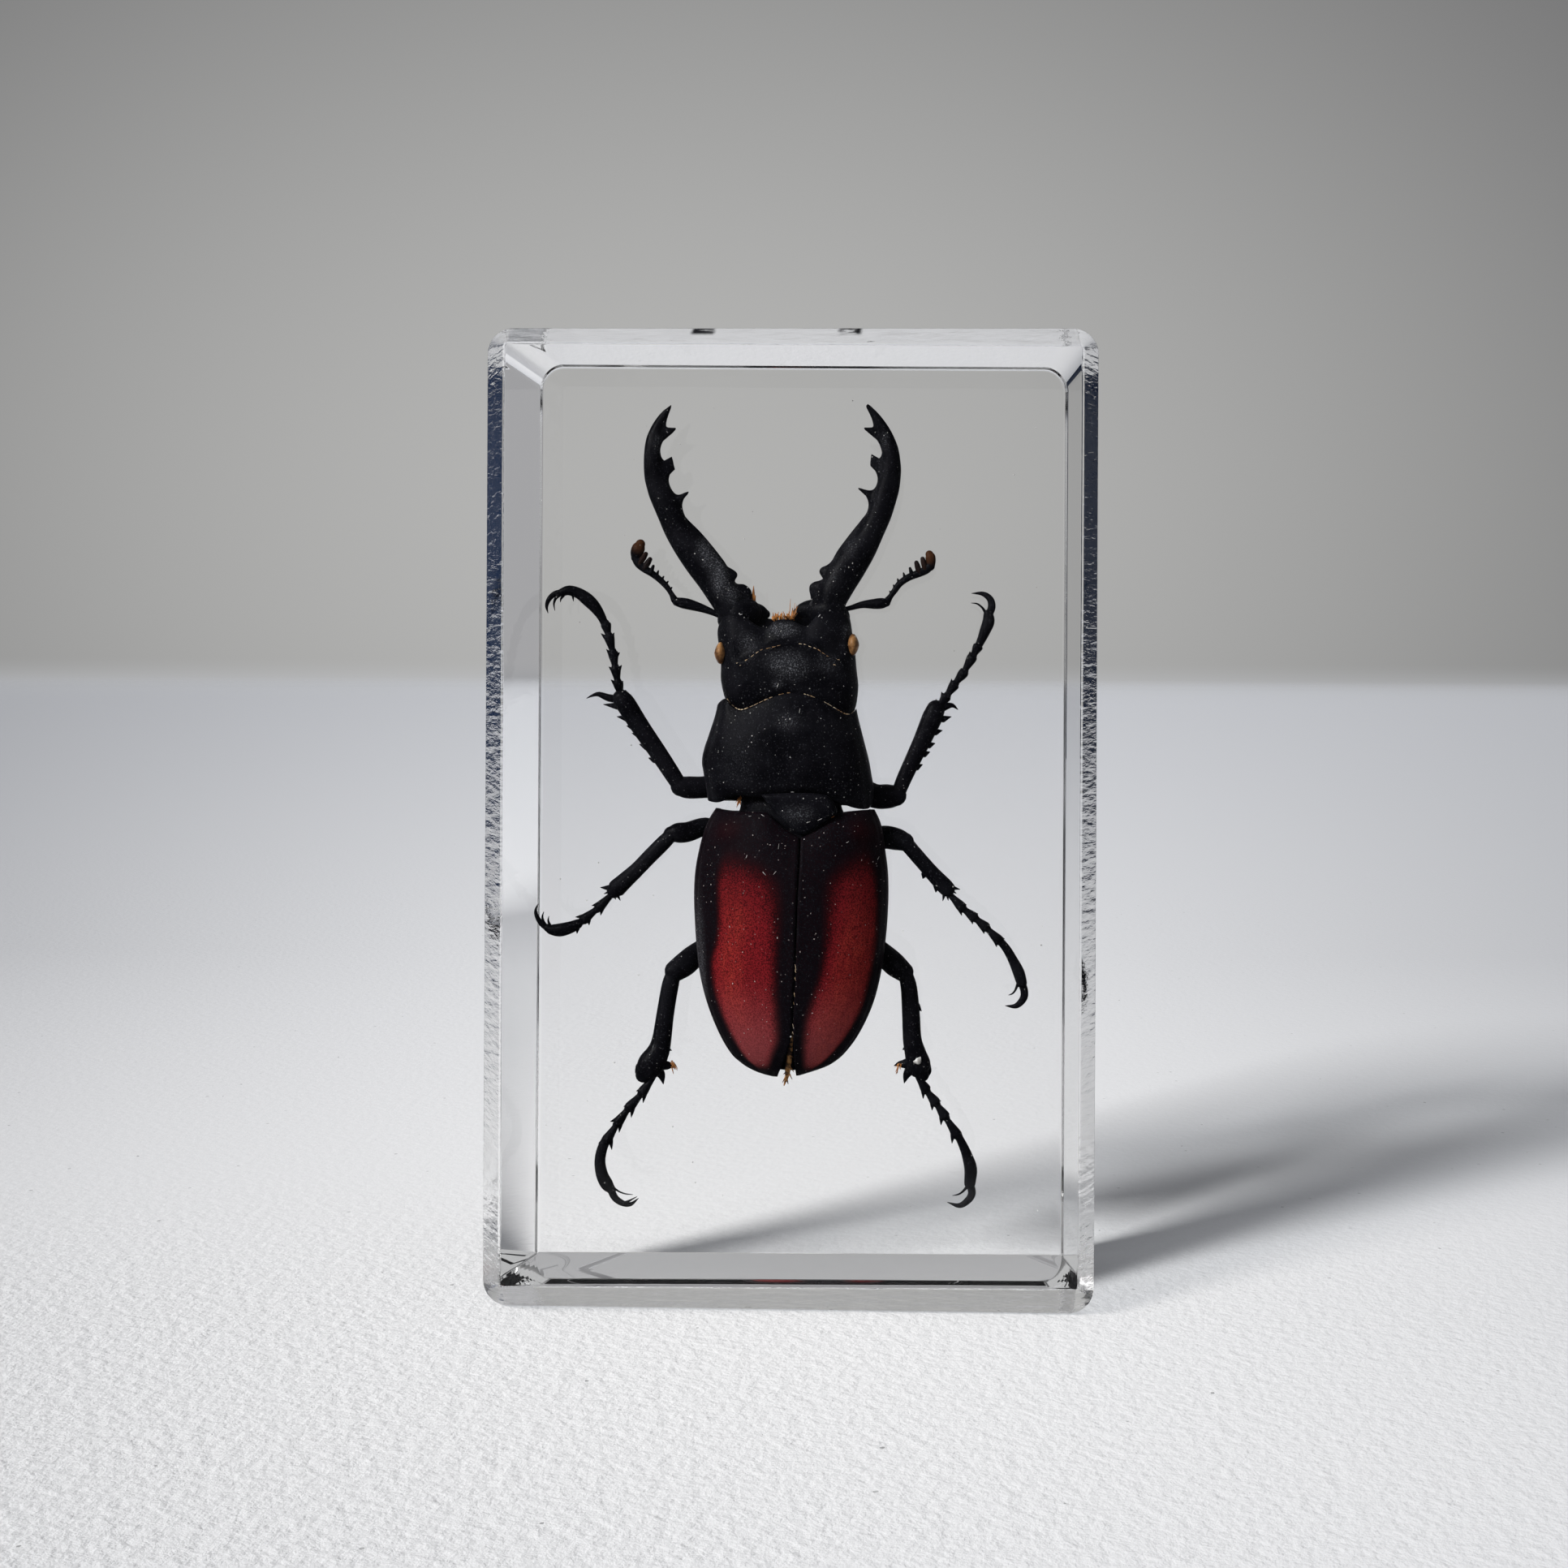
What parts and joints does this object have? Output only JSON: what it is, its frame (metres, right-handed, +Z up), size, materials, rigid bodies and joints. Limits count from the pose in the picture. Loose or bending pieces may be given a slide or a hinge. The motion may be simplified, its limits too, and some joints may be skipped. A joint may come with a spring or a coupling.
{
  "type": "stag beetle in resin block",
  "caption": "Dried stag beetle with long toothed jaws and red-patched wing cases, cast upright in a clear rounded resin block that stands on its flat base.",
  "frame": {"origin": "centre of the block's base, on the surface it stands on", "axes": "+Z up along the block's height and towards the beetle's jaws, -Y out of the face that the beetle's back is seen through, +X to the right of that face"},
  "size_m": [0.0702, 0.027, 0.1123],
  "materials": {
    "resin": "clear cast resin with a polished surface",
    "black_shell": "black horny shell with a soft sheen",
    "red_wing_case": "dark red shell with black borders",
    "amber_eye": "dry amber eye",
    "brown_wing": "dry brown wing membrane",
    "orange_hair": "stiff orange hairs"
  },
  "bodies": {
    "root": {"resin_front_half": "resin", "resin_back_half": "resin", "head": "black_shell", "eye_left": "amber_eye", "eye_right": "amber_eye", "mandible_left": "black_shell", "mandible_right": "black_shell", "antenna_left": "black_shell", "antenna_right": "black_shell", "mouth_brush": "orange_hair", "front_thorax": "black_shell", "rear_thorax": "black_shell", "abdomen": "black_shell", "elytron_left": "red_wing_case", "elytron_right": "red_wing_case", "hind_wing_tip": "brown_wing", "front_leg_left": "black_shell", "front_leg_right": "black_shell", "middle_leg_left": "black_shell", "middle_leg_right": "black_shell", "hind_leg_left": "black_shell", "hind_leg_right": "black_shell"}
  },
  "joints": []
}
